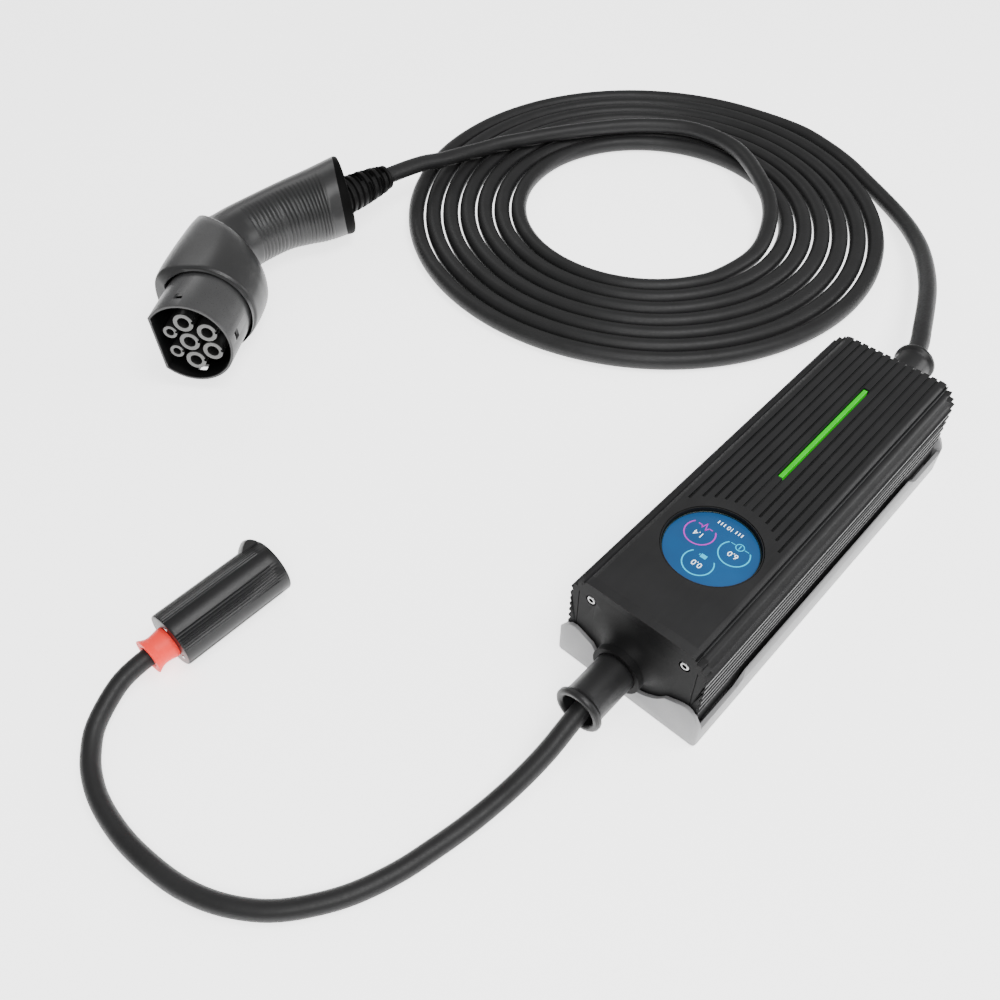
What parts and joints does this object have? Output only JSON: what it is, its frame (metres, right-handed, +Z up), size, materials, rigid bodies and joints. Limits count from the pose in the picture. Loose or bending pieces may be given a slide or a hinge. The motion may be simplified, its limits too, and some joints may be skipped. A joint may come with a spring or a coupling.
{
  "type": "portable ev charger",
  "caption": "Portable electric-vehicle charger: finned control box with a round display in a wall bracket, coiled vehicle cable with a pistol connector, and a short supply lead.",
  "frame": {"origin": "under the middle of the wall bracket, on the surface that everything lies on", "axes": "+Y along the control box from its supply end to its vehicle end, +X to the right of the box seen from above with +Y ahead, +Z up"},
  "size_m": [0.4876, 0.7508, 0.066],
  "materials": {
    "bracket_sheet": "light grey powder coat, satin",
    "housing_metal": "dark grey anodised, satin",
    "cap_plastic": "dark grey, fine moulded grain",
    "sleeve_rubber": "black, satin",
    "cable_jacket": "dark grey, satin",
    "screw_steel": "plain",
    "window_glass": "blue lit panel behind a clear window",
    "light_green": "lit diffuser",
    "board_laminate": "green lacquer",
    "component_plastic": "black",
    "contact_metal": "plated",
    "connector_plastic": "dark grey, fine moulded grain",
    "carrier_plastic": "mid grey",
    "coupler_plastic": "black, half gloss",
    "collar_coral": "coral red"
  },
  "bodies": {
    "root": {"wall_bracket": "bracket_sheet", "housing": "housing_metal", "front_end_cap": "cap_plastic", "rear_end_cap": "cap_plastic", "front_gasket": "sleeve_rubber", "rear_gasket": "sleeve_rubber", "front_cable_sleeve": "sleeve_rubber", "rear_cable_sleeve": "sleeve_rubber", "display_panel": "component_plastic", "display_window": "window_glass", "display_seal_ring": "sleeve_rubber", "display_board": "board_laminate", "light_bar": "light_green", "light_bar_board": "board_laminate", "main_circuit_board": "board_laminate", "supply_terminal_block": "component_plastic", "output_terminal_block": "component_plastic", "relay_line": "component_plastic", "relay_neutral": "component_plastic", "power_transformer": "contact_metal", "filter_capacitor": "component_plastic", "leakage_sensor_ring": "component_plastic", "front_conductors": "contact_metal", "rear_conductors": "contact_metal", "vehicle_cable_coil": "cable_jacket", "supply_cable": "cable_jacket", "vehicle_cable_lead": "cable_jacket", "vehicle_cable_tail": "cable_jacket", "connector_shroud": "connector_plastic", "contact_carrier": "carrier_plastic", "connector_shell_upper": "connector_plastic", "connector_shell_lower": "connector_plastic", "handle_end_cap": "cap_plastic", "connector_conductors": "contact_metal", "cable_boot": "sleeve_rubber", "coupler_shell": "coupler_plastic", "coupler_back_cover": "coupler_plastic", "coupler_insert": "component_plastic", "coupler_collar": "collar_coral", "coupler_latch": "coupler_plastic", "coupler_screw_1": "screw_steel", "coupler_screw_2": "screw_steel", "front_cap_screw_1": "screw_steel", "front_cap_screw_2": "screw_steel", "front_cap_screw_3": "screw_steel", "front_cap_screw_4": "screw_steel", "rear_cap_screw_1": "screw_steel", "rear_cap_screw_2": "screw_steel", "rear_cap_screw_3": "screw_steel", "rear_cap_screw_4": "screw_steel", "contact_earth": "contact_metal", "contact_line_1": "contact_metal", "contact_neutral": "contact_metal", "contact_line_2": "contact_metal", "contact_line_3": "contact_metal", "contact_pilot": "contact_metal", "contact_proximity": "contact_metal", "coupler_pin_earth": "contact_metal", "coupler_pin_line": "contact_metal", "coupler_pin_neutral": "contact_metal"}
  },
  "joints": []
}
